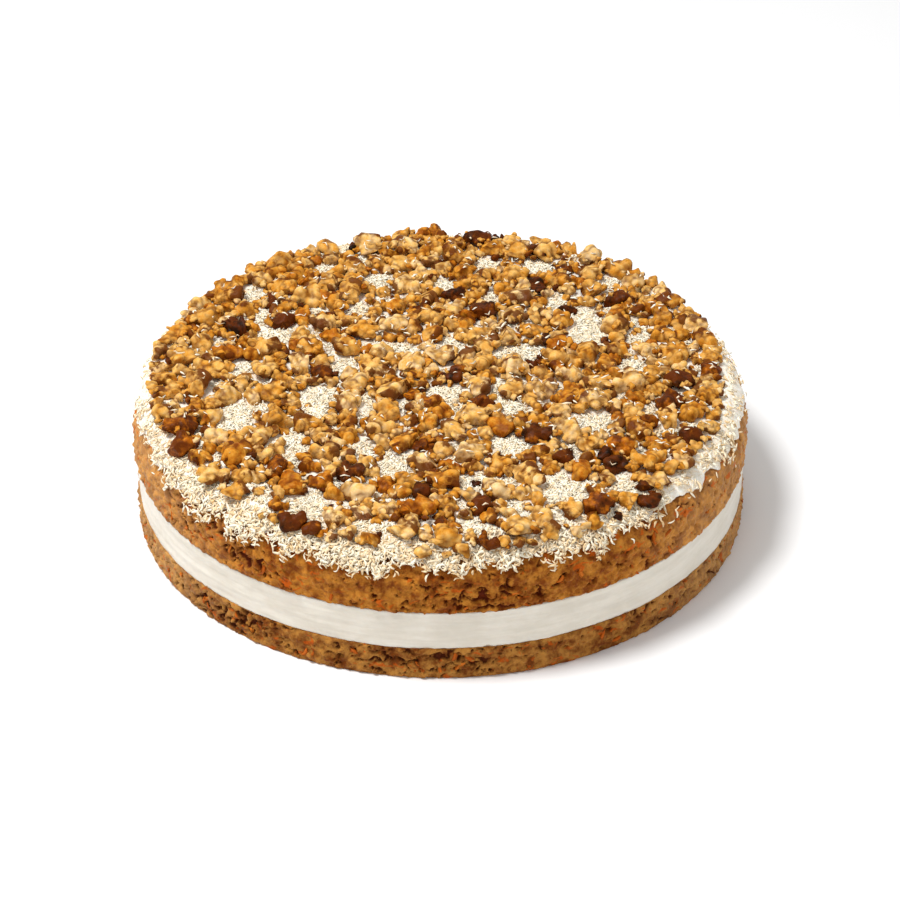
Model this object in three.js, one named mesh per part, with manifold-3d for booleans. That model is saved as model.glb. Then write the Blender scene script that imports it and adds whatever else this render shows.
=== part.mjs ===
// A round carrot cake of two sponge layers. A thin lower sponge carries a thick layer of cream and a
// thicker upper sponge with a rounded shoulder. A thin coat of cream and shredded coconut covers the
// top and the shoulder, and chopped walnuts are pressed into it.
// Millimetres, +Z up. The origin is the middle of the flat base, and -Y is the front.
import * as THREE from "three";
import { mergeVertices } from "three/addons/utils/BufferGeometryUtils.js";
import { ImprovedNoise } from "three/addons/math/ImprovedNoise.js";
import Module from "manifold-3d";

const wasm = await Module();
wasm.setup();

// Driving dimensions of the layers
const CAKE_RADIUS = 115;
const LOWER_SPONGE_TOP = 13;
const FILLING_TOP = 28;
const UPPER_SPONGE_TOP = 50.5;
const SHOULDER_RADIUS = 12;
const EDGE_ROUNDING = 0.9;
const EDGE_SHOULDER = 0.2;
const EDGE_HEIGHT = 1.1;
const FILLING_INSET = 0.5;

// The coat of cream and coconut
const COAT_CLEARANCE = 0.3;
const COAT_THICKNESS = 2;
const COAT_RIM_THICKNESS = 0.7;
const COAT_RIM_ANGLE = 19 * (Math.PI / 180);
const COAT_RIM_WAVE = 9 * (Math.PI / 180);
const COAT_RIM_LENGTH = 11;

// Relief: how far crags and waves stand out, and how long they are
const CRUMB_RELIEF = 0.8;
const CRUMB_LENGTH = 7;
const CREAM_RELIEF = 0.35;
const CREAM_LENGTH = 16;
const COCONUT_RELIEF = 0.6;
const COCONUT_LENGTH = 9;

// Chopped walnuts
const NUT_COUNT = 210;
const LARGEST_NUT = 13.5;
const SMALLEST_NUT = 8.5;
const NUT_HEIGHT_SHARE = 0.62;
const NUT_WIDTH_SHARE = 0.8;
const NUT_LEAST_CORNER = 0.78;
const NUT_MOST_CORNER = 1.18;
const NUT_SINK = 1.5;
const NUT_SPACING = 0.88;
const NUT_MARGIN = 0.2;
const NUT_INSET = 0.35;
const NUT_TRIES = 500;
const NUT_SEED = 20931;

const SEGMENTS = 72;
const SHOULDER_STEPS = 4;
const SLIGHT = 1e-3;
const CORNER = Math.PI / 2;

// Bare places among the nuts, where the coconut shows: [x, y, radius], x to the right, y to the back
const CLEARINGS = [
  [-24, 70, 8], [-46, 79, 6], [-72, 59, 6], [-68, 44, 6], [-65, 28, 8], [-31, 48, 7], [-22, 55, 5],
  [2, 66, 7], [-14, 18, 7], [-36, 5, 7], [-74, 4, 7], [19, 82, 7], [40, 79, 8], [20, 54, 6],
  [45, 52, 7], [56, 42, 8], [56, 27, 9], [75, 24, 7], [75, 37, 5], [93, 21, 5], [32, 15, 8],
  [6, 19, 7], [73, 6, 7], [-45, -15, 9], [-45, -26, 7], [1, -14, 8], [-74, -26, 8], [-74, -36, 7],
  [-55, -44, 7], [-55, -56, 7], [-28, -51, 7], [-38, -37, 4], [-17, -62, 8], [8, -69, 5],
  [-12, -84, 4], [-62, -83, 7], [-46, -86, 9], [27, -24, 7], [56, -35, 8], [25, -50, 9],
  [43, -78, 10], [64, -74, 7], [86, -72, 7], [26, -87, 6], [12, -98, 7], [-24, -99, 6],
];

// Large dark pieces that stand out: [x, y, length, turn in degrees]
const DARK_NUTS = [
  [-94, -38, 13, 8], [-92, -49, 12, 60], [-58, -65, 12, 75], [-32, -68, 12, 20], [-51, -95, 11, 0],
  [44, -57, 10, 80], [62, -62, 11, 30], [55, -88, 12, 10], [84, -22, 12, 60], [69, 53, 11, 0],
  [-61, 37, 11, 40], [5, 57, 10, 0], [15, 101, 12, 0], [101, -1, 10, 80], [15, -21, 10, 20],
  [90, -44, 12, 100], [16, -107, 9, 0], [73, -82, 9, 10],
];

// How far from the middle the nuts' outer ends reach: nearly to the edge, a little less at the front,
// and least on the right, where a band of the coat stays bare.
const NUT_REACH = 111;
const FRONT_SETBACK = 1.5;
const RIGHT_SETBACK = 3;
const RIGHT_NARROWING = 6;

const noise = new ImprovedNoise();

// Steady random numbers from 0 to 1, the same on every run.
function randomFrom(seed) {
  let state = seed >>> 0;
  return () => {
    state = (state + 0x6d2b79f5) >>> 0;
    let mixed = Math.imul(state ^ (state >>> 15), state | 1);
    mixed ^= mixed + Math.imul(mixed ^ (mixed >>> 7), mixed | 61);
    return ((mixed ^ (mixed >>> 14)) >>> 0) / 4294967296;
  };
}

function lerp(from, to, share) {
  return from + (to - from) * share;
}

// Leaves only shared corner points, so that the surface is closed.
function sealed(geometry) {
  geometry.deleteAttribute("normal");
  geometry.deleteAttribute("uv");
  return mergeVertices(geometry, SLIGHT);
}

// A closed body turned about Z from a profile of [radius, height] points, axis to axis.
function turned(profile) {
  const points = profile.map(([radius, height]) => new THREE.Vector2(radius, height));
  return new THREE.LatheGeometry(points, SEGMENTS).rotateX(CORNER);
}

// Moves each point of a surface to where the rule puts it.
function reshape(geometry, rule) {
  const position = geometry.getAttribute("position");
  const point = new THREE.Vector3();
  for (let i = 0; i < position.count; i++) {
    point.fromBufferAttribute(position, i);
    rule(point);
    position.setXYZ(i, point.x, point.y, point.z);
  }
  return geometry;
}

// Pushes the points of a side wall in and out between two heights, up to the relief either way.
function roughenWall(geometry, low, high, relief, length) {
  return reshape(geometry, (point) => {
    if (point.z < low + SLIGHT || point.z > high - SLIGHT) return;
    const wave = noise.noise(point.x / length, point.y / length, (2 * point.z) / length);
    const push = 2 * relief * wave;
    const radius = Math.hypot(point.x, point.y);
    point.x *= 1 + push / radius;
    point.y *= 1 + push / radius;
  });
}

// The rounded lower edge of a sponge layer, from the axis out to its wall.
function lowerEdge(base) {
  return [
    [0, base],
    [CAKE_RADIUS - EDGE_ROUNDING, base],
    [CAKE_RADIUS - EDGE_SHOULDER, base + EDGE_HEIGHT],
  ];
}

// Rows of points up a wall, evenly spaced between its two ends.
function wallRows(radius, low, high, count) {
  return Array.from({ length: count }, (_, i) => [radius, lerp(low, high, (i + 1) / (count + 1))]);
}

function lowerSponge() {
  const profile = [
    ...lowerEdge(0),
    ...wallRows(CAKE_RADIUS, EDGE_HEIGHT, LOWER_SPONGE_TOP - EDGE_HEIGHT, 3),
    [CAKE_RADIUS - EDGE_SHOULDER, LOWER_SPONGE_TOP - EDGE_HEIGHT],
    [CAKE_RADIUS - EDGE_ROUNDING, LOWER_SPONGE_TOP],
    [0, LOWER_SPONGE_TOP],
  ];
  return roughenWall(turned(profile), 0, LOWER_SPONGE_TOP, CRUMB_RELIEF, CRUMB_LENGTH);
}

function creamFilling() {
  const radius = CAKE_RADIUS - FILLING_INSET;
  const profile = [
    [0, LOWER_SPONGE_TOP],
    [radius, LOWER_SPONGE_TOP],
    ...wallRows(radius, LOWER_SPONGE_TOP, FILLING_TOP, 2),
    [radius, FILLING_TOP],
    [0, FILLING_TOP],
  ];
  return roughenWall(turned(profile), LOWER_SPONGE_TOP, FILLING_TOP, CREAM_RELIEF, CREAM_LENGTH);
}

// A point on the shoulder's arc, or offset outwards from it: 0 is level with its centre, CORNER its top.
function onShoulder(angle, offset = 0) {
  const reach = SHOULDER_RADIUS + offset;
  return [
    CAKE_RADIUS - SHOULDER_RADIUS + reach * Math.cos(angle),
    UPPER_SPONGE_TOP - SHOULDER_RADIUS + reach * Math.sin(angle),
  ];
}

// The shoulder's arc in even steps, from the wall to the flat top.
function shoulderRows(offset = 0) {
  const steps = Array.from({ length: SHOULDER_STEPS + 1 }, (_, i) => i / SHOULDER_STEPS);
  return steps.map((share) => onShoulder(share * CORNER, offset));
}

function upperSponge() {
  const wallTop = UPPER_SPONGE_TOP - SHOULDER_RADIUS;
  const profile = [
    ...lowerEdge(FILLING_TOP),
    ...wallRows(CAKE_RADIUS, FILLING_TOP + EDGE_HEIGHT, wallTop, 3),
    ...shoulderRows(),
    [0, UPPER_SPONGE_TOP],
  ];
  return roughenWall(turned(profile), FILLING_TOP, wallTop, CRUMB_RELIEF, CRUMB_LENGTH);
}

function solidOf(geometry) {
  const merged = sealed(geometry);
  const vertProperties = new Float32Array(merged.getAttribute("position").array);
  const triVerts = new Uint32Array(merged.index.array);
  return new wasm.Manifold(new wasm.Mesh({ numProp: 3, vertProperties, triVerts }));
}

function geometryOf(solid) {
  const mesh = solid.getMesh();
  const geometry = new THREE.BufferGeometry();
  geometry.setAttribute("position", new THREE.BufferAttribute(mesh.vertProperties, 3));
  geometry.setIndex(new THREE.BufferAttribute(mesh.triVerts, 1));
  return geometry;
}

// How thick the coat is on the shoulder: a feathered rim below, its full thickness on top.
function coatThickness(angle) {
  const share = THREE.MathUtils.smoothstep(angle, COAT_RIM_ANGLE, CORNER);
  return lerp(COAT_RIM_THICKNESS, COAT_THICKNESS, share);
}

// The coat's outer form, filled down to its wavy lower rim.
function coatBody() {
  const [, rimHeight] = onShoulder(COAT_RIM_ANGLE, COAT_CLEARANCE + COAT_RIM_THICKNESS);
  const top = UPPER_SPONGE_TOP + COAT_CLEARANCE + COAT_THICKNESS;
  const profile = [[0, rimHeight]];
  for (let step = 0; step <= SHOULDER_STEPS; step++) {
    const angle = lerp(COAT_RIM_ANGLE, CORNER, step / SHOULDER_STEPS);
    profile.push(onShoulder(angle, COAT_CLEARANCE + coatThickness(angle)));
  }
  profile.push([0, top]);
  return reshape(turned(profile), (point) => {
    const radius = Math.hypot(point.x, point.y);
    if (radius < SLIGHT) return;
    if (point.z < rimHeight + SLIGHT) {
      const wave = noise.noise(point.x / COAT_RIM_LENGTH, point.y / COAT_RIM_LENGTH, COAT_RIM_LENGTH);
      const angle = COAT_RIM_ANGLE + COAT_RIM_WAVE * wave;
      const [reach, height] = onShoulder(angle, COAT_CLEARANCE + COAT_RIM_THICKNESS);
      point.multiplyScalar(reach / radius);
      point.z = height;
      return;
    }
    if (point.z > top - SLIGHT) return;
    point.z += COCONUT_RELIEF * noise.noise(point.x / COCONUT_LENGTH, point.y / COCONUT_LENGTH, 0.5);
  });
}

// What lies under the coat: the upper sponge with the clearance round it.
function underCoat() {
  const [wall] = onShoulder(0, COAT_CLEARANCE);
  const top = UPPER_SPONGE_TOP + COAT_CLEARANCE;
  return turned([[0, FILLING_TOP], [wall, FILLING_TOP], ...shoulderRows(COAT_CLEARANCE), [0, top]]);
}

// The height of the coat's outer surface at a distance from the middle.
function coatTop(radius) {
  const reach = SHOULDER_RADIUS + COAT_CLEARANCE + COAT_THICKNESS;
  const past = Math.max(0, radius - (CAKE_RADIUS - SHOULDER_RADIUS));
  return UPPER_SPONGE_TOP - SHOULDER_RADIUS + Math.sqrt(reach * reach - past * past);
}

// How far the nuts reach in one direction: angle 0 is the right, CORNER the back.
function nutReach(angle) {
  const front = Math.max(0, -Math.sin(angle));
  const right = Math.max(0, Math.cos(angle));
  return NUT_REACH - FRONT_SETBACK * front - RIGHT_SETBACK * right ** RIGHT_NARROWING;
}

// Where each nut lies, the largest first, clear of the bare places and of the nuts before it.
function nutPlaces() {
  const places = DARK_NUTS.map(([x, y, size, degrees]) => {
    return { x, y, size, turn: (degrees / 180) * Math.PI };
  });
  const random = randomFrom(NUT_SEED);
  for (let i = 0; i < NUT_COUNT; i++) {
    const size = lerp(LARGEST_NUT, SMALLEST_NUT, i / (NUT_COUNT - 1));
    for (let attempt = 0; attempt < NUT_TRIES; attempt++) {
      const angle = 2 * Math.PI * random();
      const radius = (nutReach(angle) - NUT_INSET * size) * Math.sqrt(random());
      const turn = 2 * Math.PI * random();
      const x = radius * Math.cos(angle);
      const y = radius * Math.sin(angle);
      const within = ([cx, cy, reach]) => Math.hypot(x - cx, y - cy) < reach + NUT_MARGIN * size;
      if (CLEARINGS.some(within)) continue;
      const apart = (nut) => Math.hypot(x - nut.x, y - nut.y) > (NUT_SPACING * (size + nut.size)) / 2;
      if (!places.every(apart)) continue;
      places.push({ x, y, size, turn });
      break;
    }
  }
  return places;
}

// A piece of chopped nut: an uneven many-sided lump, sunk a little into the coat.
function nut({ x, y, size, turn }, index) {
  const random = randomFrom(index + 1);
  const stretch = new THREE.Vector3(1, NUT_WIDTH_SHARE, NUT_HEIGHT_SHARE);
  const lump = sealed(new THREE.IcosahedronGeometry(size / 2, 0));
  reshape(lump, (point) => {
    const share = lerp(NUT_LEAST_CORNER, NUT_MOST_CORNER, random());
    point.multiplyScalar(share).multiply(stretch);
  });
  const height = coatTop(Math.hypot(x, y)) + (NUT_HEIGHT_SHARE * size) / 2 - NUT_SINK;
  return solidOf(lump.rotateZ(turn).translate(x, y, height));
}

// The coat with the nuts fused on it. A hollow that the nuts shut in is filled, and a scrap dropped.
function nutTopping() {
  const nuts = nutPlaces().map(nut);
  const filled = nuts.reduce((body, piece) => body.add(piece), solidOf(coatBody()));
  const shell = filled.subtract(solidOf(underCoat()));
  const bodies = shell.decompose().sort((a, b) => b.volume() - a.volume());
  return geometryOf(bodies[0]);
}

function food(colour, roughness) {
  return new THREE.MeshStandardMaterial({ color: colour, roughness, metalness: 0 });
}

const carrotCake = new THREE.Group();
function addLayer(name, geometry, material) {
  const mesh = new THREE.Mesh(geometry, material);
  mesh.name = name;
  carrotCake.add(mesh);
}

addLayer("sponge_bottom", lowerSponge(), food(0x97693f, 0.9));
addLayer("cream_filling", creamFilling(), food(0xe6e0d4, 0.5));
addLayer("sponge_top", upperSponge(), food(0xaf7b43, 0.9));
addLayer("nut_topping", nutTopping(), food(0xd9a566, 0.7));

export default carrotCake;
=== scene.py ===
import math

import bmesh
import bpy
import numpy as np
from mathutils import Euler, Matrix, Quaternion, Vector, noise


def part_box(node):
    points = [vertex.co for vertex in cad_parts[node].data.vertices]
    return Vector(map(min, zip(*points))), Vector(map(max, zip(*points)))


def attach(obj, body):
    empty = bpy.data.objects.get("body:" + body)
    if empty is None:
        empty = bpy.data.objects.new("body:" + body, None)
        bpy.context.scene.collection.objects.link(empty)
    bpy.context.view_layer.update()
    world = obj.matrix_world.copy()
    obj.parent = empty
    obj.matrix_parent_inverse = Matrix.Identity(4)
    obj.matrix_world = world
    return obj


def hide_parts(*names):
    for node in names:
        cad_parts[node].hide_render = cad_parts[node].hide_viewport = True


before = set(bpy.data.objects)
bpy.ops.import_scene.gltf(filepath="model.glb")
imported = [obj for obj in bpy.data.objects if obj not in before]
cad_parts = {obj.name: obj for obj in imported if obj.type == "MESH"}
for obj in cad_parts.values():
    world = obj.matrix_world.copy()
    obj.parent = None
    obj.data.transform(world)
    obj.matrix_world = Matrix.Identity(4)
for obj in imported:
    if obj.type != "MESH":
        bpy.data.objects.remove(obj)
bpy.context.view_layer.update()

MM = 0.001
BODY = "root"

# The layers, as the frame has them
CAKE_RADIUS = 115 * MM
SHOULDER_RADIUS = 12 * MM
FILLING_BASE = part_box("cream_filling")[0].z
FILLING_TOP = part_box("cream_filling")[1].z
SPONGE_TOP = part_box("sponge_top")[1].z
FILLING_RADIUS = CAKE_RADIUS - 0.5 * MM
COAT_THICKNESS = 2.3 * MM
COAT_RIM_THICKNESS = 0.5 * MM
COAT_RIM_ANGLE = math.radians(27)
COAT_RIM_WAVE = math.radians(16)
COAT_RIM_RISE = math.radians(26)
COAT_RIM_BEND = 9 * MM
TORN_EDGE = 0.75 * MM
TORN_EDGE_BEND = 2.2 * MM
SPONGE_COLUMNS = 1500
FILLING_COLUMNS = 960
COAT_COLUMNS = 720

# Chopped walnuts, in mm: the large ones lie where the solid has them
NUT_COUNT = 210
LARGEST_NUT = 13.5
SMALLEST_NUT = 8.5
NUT_HEIGHT_SHARE = 0.62
NUT_WIDTH_SHARE = 0.8
NUT_SINK = 1.5
NUT_SPACING = 0.88
NUT_MARGIN = 0.2
NUT_TRIES = 500
NUT_SEED = 20931
NUT_REACH = 111
NUT_INSET = 0.35
FRONT_SETBACK = 1.5
RIGHT_SETBACK = 3
RIGHT_NARROWING = 6
FRONT_OVERHANG = 5
NUT_KINDS = 24
LARGE_NUT_TRIANGLES = 840
MEDIUM_NUT_TRIANGLES = 260
SMALL_NUT_TRIANGLES = 72
MEDIUM_NUTS = dict(count=620, largest=8.8, smallest=5.2, spacing=0.66, margin=0.5, tries=60)
SMALL_NUTS = dict(count=1000, largest=5.0, smallest=2.6, spacing=0.6, margin=-0.4, tries=40)
TOPPING_SEED = 11

# Gaps between the nuts, in mm: small patches, fewer behind BACK_START, and winding ones
PATCH_SIZE = 5.5
PATCH_LEVEL = 0.12
BACK_START = 45
BACK_PATCH_LEVEL = 0.26
WINDING_SIZE = 15
WINDING_WIDTH = 0.019

# Shredded coconut, in mm and degrees
SHRED_KINDS = 8
TOP_SHREDS = 13000
TOP_SHRED_REACH = 104
TOP_SHRED_LENGTHS = (1.5, 3.2)
STRAY_SHARE = 0.008
SHOULDER_SHREDS = 7500
SHOULDER_SHRED_LENGTHS = (1.5, 3.1)
SHOULDER_SHREDS_START = 12
BAND_EDGE = 54
BAND_DROP = 22
BAND_WAVE = 26
BAND_BLUR = 5
BACK_COVER = 0.6
RIGHT_THINNING = 0.55
COCONUT_SEED = 23

# Carrot shreds, in mm
UPPER_CARROTS = 110
LOWER_CARROTS = 90
CARROT_LENGTHS = (3.5, 6.0)
CARROT_DEPTHS = (0.2, 0.75)
CARROT_SEED = 31

# Bare places among the nuts, where the coconut shows: (x, y, radius) in mm
CLEARINGS = (
    (-24, 70, 8), (-46, 79, 6), (-72, 59, 6), (-68, 44, 6), (-65, 28, 8), (-31, 48, 7), (-22, 55, 5),
    (2, 66, 7), (-14, 18, 7), (-36, 5, 7), (-74, 4, 7), (19, 82, 7), (40, 79, 8), (20, 54, 6),
    (45, 52, 7), (56, 42, 8), (56, 27, 9), (75, 24, 7), (75, 37, 5), (93, 21, 5), (32, 15, 8),
    (6, 19, 7), (73, 6, 7), (-45, -15, 9), (-45, -26, 7), (1, -14, 8), (-74, -26, 8), (-74, -36, 7),
    (-55, -44, 7), (-55, -56, 7), (-28, -51, 7), (-38, -37, 4), (-17, -62, 8), (8, -69, 5),
    (-12, -84, 4), (-62, -83, 7), (-46, -86, 9), (27, -24, 7), (56, -35, 8), (25, -50, 9),
    (43, -78, 10), (64, -74, 7), (86, -72, 7), (26, -87, 6), (12, -98, 7), (-24, -99, 6),
)

# Large dark pieces that stand out: (x, y, length, turn in degrees) in mm
DARK_NUTS = (
    (-94, -38, 13, 8), (-92, -49, 12, 60), (-58, -65, 12, 75), (-32, -68, 12, 20), (-51, -95, 11, 0),
    (44, -57, 10, 80), (62, -62, 11, 30), (55, -88, 12, 10), (84, -22, 12, 60), (69, 53, 11, 0),
    (-61, 37, 11, 40), (5, 57, 10, 0), (15, 101, 12, 0), (101, -1, 10, 80), (15, -21, 10, 20),
    (90, -44, 12, 100), (16, -107, 9, 0), (73, -82, 9, 10),
)


def linear(red, green, blue):
    """A colour given as it looks on a screen, 0 to 255, in the linear form that shaders use."""
    def channel(value):
        share = value / 255
        return share / 12.92 if share <= 0.04045 else ((share + 0.055) / 1.055) ** 2.4
    return (channel(red), channel(green), channel(blue), 1.0)


# Node trees

def node(tree, kind, inputs=None, **settings):
    """Adds a node. Each input is a value, or the output that it is joined to."""
    made = tree.nodes.new(kind)
    for name, value in settings.items():
        setattr(made, name, value)
    for socket, value in (inputs or {}).items():
        if isinstance(value, bpy.types.NodeSocket):
            tree.links.new(value, made.inputs[socket])
        else:
            made.inputs[socket].default_value = value
    return made


def calculate(tree, operation, first, second=0.0):
    return node(tree, "ShaderNodeMath", {0: first, 1: second}, operation=operation).outputs[0]


def product(tree, first, second):
    return calculate(tree, "MULTIPLY", first, second)


def spread(tree, value, low, high, to_low=0.0, to_high=1.0):
    """Carries a value smoothly from one range to another, held at both ends."""
    inputs = {"Value": value, "From Min": low, "From Max": high, "To Min": to_low, "To Max": to_high}
    return node(tree, "ShaderNodeMapRange", inputs, interpolation_type="SMOOTHSTEP").outputs[0]


def blend_colours(tree, share, first, second):
    inputs = {0: share, 6: first, 7: second}
    return node(tree, "ShaderNodeMix", inputs, data_type="RGBA").outputs[2]


def sized(tree, size):
    """A texture's scale from a size in metres, which is a number or comes from a socket."""
    is_socket = isinstance(size, bpy.types.NodeSocket)
    return calculate(tree, "DIVIDE", 1.0, size) if is_socket else 1 / size


def noise_value(tree, vector, size, detail=2.0, roughness=0.5, distortion=0.0):
    """Soft noise from 0 to 1 whose lumps are about as long as size, in metres."""
    return node(tree, "ShaderNodeTexNoise", {
        "Vector": vector, "Scale": sized(tree, size), "Detail": detail, "Roughness": roughness,
        "Distortion": distortion,
    }).outputs[0]


def squeezed(tree, place, share):
    """A place whose x and y count for less, so that what is made from it is long and level."""
    scale = node(tree, "ShaderNodeCombineXYZ", {0: share, 1: share, 2: 1.0}).outputs[0]
    return node(tree, "ShaderNodeVectorMath", {0: place, 1: scale}, operation="MULTIPLY").outputs[0]


def colour_stops(tree, value, stops):
    """A colour from a value, by (place, colour) stops."""
    ramp = node(tree, "ShaderNodeValToRGB", {"Fac": value})
    elements = ramp.color_ramp.elements
    while len(elements) < len(stops):
        elements.new(0.5)
    for element, (place, colour) in zip(elements, stops):
        element.position = place
        element.color = colour
    return ramp.outputs[0]


def new_group(name, kind, inputs, outputs):
    """An empty node group. Inputs are (name, type, value), and outputs (name, type)."""
    tree = bpy.data.node_groups.new(name, kind)
    for title, socket, value in inputs:
        made = tree.interface.new_socket(title, in_out="INPUT", socket_type="NodeSocket" + socket)
        if value is not None:
            made.default_value = value
    for title, socket in outputs:
        tree.interface.new_socket(title, in_out="OUTPUT", socket_type="NodeSocket" + socket)
    return tree, tree.nodes.new("NodeGroupInput").outputs, tree.nodes.new("NodeGroupOutput").inputs


def use_group(tree, group, inputs):
    """The value that a group gives, from values or outputs for its named inputs."""
    placed = tree.nodes.new("ShaderNodeGroup")
    placed.node_tree = group
    for name, value in inputs.items():
        if isinstance(value, bpy.types.NodeSocket):
            tree.links.new(value, placed.inputs[name])
        else:
            placed.inputs[name].default_value = value
    return placed.outputs[0]


def mottle(tree, patch_size, grain_size, grain_share):
    inputs = {"Patch size": patch_size, "Grain size": grain_size, "Grain share": grain_share}
    return use_group(tree, MOTTLE, inputs)


def flecks(tree, size, share):
    return use_group(tree, FLECKS, {"Fleck size": size, "Share": share})


def attribute(tree, name):
    return node(tree, "ShaderNodeAttribute", attribute_name=name).outputs["Fac"]


def object_place(tree):
    return node(tree, "ShaderNodeTexCoord").outputs["Object"]


# Finishes

def mottle_group():
    """Soft patches and fine grain, for every food surface. 0.5 is the middle."""
    tree, given, result = new_group("Mottle", "ShaderNodeTree", [
        ("Patch size", "Float", 0.006), ("Grain size", "Float", 0.001), ("Grain share", "Float", 0.3),
    ], [("Value", "Float")])
    place = object_place(tree)
    patches = noise_value(tree, place, given["Patch size"], 3.0, 0.55)
    grain = noise_value(tree, place, given["Grain size"], 2.0, 0.6)
    inputs = {0: given["Grain share"], 2: patches, 3: grain}
    mixed = node(tree, "ShaderNodeMix", inputs, data_type="FLOAT")
    tree.links.new(mixed.outputs[0], result["Value"])
    return tree


def fleck_group():
    """Small dark flecks with uneven outlines: 1 on a fleck, 0 beside it."""
    inputs = [("Fleck size", "Float", 0.0012), ("Share", "Float", 0.3)]
    tree, given, result = new_group("Flecks", "ShaderNodeTree", inputs, [("Mask", "Float")])
    value = noise_value(tree, object_place(tree), given["Fleck size"], 3.0, 0.6, 0.4)
    edge = calculate(tree, "SUBTRACT", 0.8, product(tree, given["Share"], 0.5))
    above = calculate(tree, "SUBTRACT", value, edge)
    tree.links.new(spread(tree, above, 0.0, 0.09), result["Mask"])
    return tree


def new_material(name, roughness, specular=0.35, subsurface=0.0, glow=(1.0, 0.5, 0.25), depth=0.001):
    material = bpy.data.materials.new(name)
    material.use_nodes = True
    tree = material.node_tree
    shader = tree.nodes["Principled BSDF"]
    shader.inputs["Roughness"].default_value = roughness
    shader.inputs["Specular IOR Level"].default_value = specular
    shader.inputs["Subsurface Weight"].default_value = subsurface
    shader.inputs["Subsurface Radius"].default_value = glow
    shader.inputs["Subsurface Scale"].default_value = depth
    return material, tree, shader


def finish_material(tree, shader, colour, height=None, bump=0.3, depth=0.0004):
    tree.links.new(colour, shader.inputs["Base Color"])
    if height is not None:
        normal = node(tree, "ShaderNodeBump", {"Strength": bump, "Distance": depth, "Height": height})
        tree.links.new(normal.outputs[0], shader.inputs["Normal"])


def sponge_material(name, light, deep, pore, carrot, fleck_share):
    """Moist crumb: mottled brown, paler to the left and right as a painted sheen, with painted shade in
    its dark pores, and orange patches.
    """
    material, tree, shader = new_material(name, 0.5, specular=0.07, subsurface=0.1, depth=0.0012)
    patches = mottle(tree, 0.0055, 0.0016, 0.3)
    colour = blend_colours(tree, spread(tree, patches, 0.36, 0.64), deep, light)
    across = node(tree, "ShaderNodeSeparateXYZ", {0: object_place(tree)}).outputs[0]
    # Painted sheen: the crumb turns paler towards the left and right flanks, where grazing light falls
    side = spread(tree, calculate(tree, "ABSOLUTE", across), SIDE_SHEEN_START, SIDE_SHEEN_END, 0.0, SIDE_SHEEN_SHARE)
    colour = blend_colours(tree, side, colour, SIDE_SHEEN_COLOUR)
    inputs = {"Vector": object_place(tree), "Scale": (0.7, 0.7, 1.4)}
    stretched = node(tree, "ShaderNodeMapping", inputs).outputs[0]
    shreds = noise_value(tree, stretched, 0.0042, detail=1.5, distortion=1.2)
    colour = blend_colours(tree, spread(tree, shreds, 0.62, 0.7, 0.0, 0.75), colour, carrot)
    dark = product(tree, flecks(tree, 0.0016, fleck_share), 0.75)
    colour = blend_colours(tree, dark, colour, pore)
    # Painted shade: the sunk pores take the dark pore colour
    colour = blend_colours(tree, spread(tree, attribute(tree, "pore"), 0.15, 0.9), colour, pore)
    height = noise_value(tree, object_place(tree), 0.0015, detail=3.0)
    finish_material(tree, shader, colour, height, bump=0.7, depth=0.001)
    return material


def carrot_material():
    material, tree, shader = new_material("carrot", 0.55, specular=0.1)
    patches = mottle(tree, 0.004, 0.0008, 0.3)
    mixed = calculate(tree, "ADD", product(tree, patches, 0.5), attribute(tree, "tone"))
    colour = colour_stops(tree, product(tree, mixed, 0.7), [
        (0.1, linear(204, 120, 38)), (0.5, linear(190, 92, 18)), (0.95, linear(150, 70, 10)),
    ])
    finish_material(tree, shader, colour, patches, bump=0.25)
    return material


def cream_material():
    """Spread cream: off-white, with faint level streaks from the palette knife."""
    material, tree, shader = new_material(
        "cream", 0.48, specular=0.35, subsurface=0.25, glow=(1.0, 0.8, 0.6), depth=0.002)
    place = node(tree, "ShaderNodeMapping", {"Vector": object_place(tree), "Scale": (0.12, 0.12, 1.0)})
    streaks = noise_value(tree, place.outputs[0], 0.0022, detail=3.0, roughness=0.6)
    patches = mottle(tree, 0.009, 0.0012, 0.15)
    both = product(tree, calculate(tree, "ADD", streaks, patches), 0.5)
    share = spread(tree, both, 0.35, 0.65)
    colour = blend_colours(tree, share, linear(216, 208, 193), linear(229, 222, 209))
    finish_material(tree, shader, colour, streaks, bump=0.2, depth=0.0006)
    return material


def coat_material():
    """Thin cream with grated coconut pressed into it."""
    material, tree, shader = new_material(
        "coconut_coat", 0.6, subsurface=0.2, glow=(1.0, 0.8, 0.6), depth=0.0015)
    grain = mottle(tree, 0.004, 0.0009, 0.6)
    share = spread(tree, grain, 0.35, 0.6)
    colour = blend_colours(tree, share, linear(238, 222, 196), linear(252, 247, 236))
    brown = product(tree, flecks(tree, 0.001, 0.16), 0.35)
    colour = blend_colours(tree, brown, colour, linear(196, 158, 108))
    finish_material(tree, shader, colour, grain, bump=0.8, depth=0.0007)
    return material


def coconut_material():
    material, tree, shader = new_material("coconut", 0.6, specular=0.2)
    patches = mottle(tree, 0.005, 0.0008, 0.3)
    mixed = calculate(tree, "ADD", product(tree, patches, 0.5), attribute(tree, "tone"))
    colour = colour_stops(tree, product(tree, mixed, 0.66), [
        (0.1, linear(255, 252, 238)), (0.5, linear(255, 246, 222)), (1.0, linear(236, 198, 140)),
    ])
    finish_material(tree, shader, colour, patches, bump=0.2, depth=0.0002)
    return material


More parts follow.
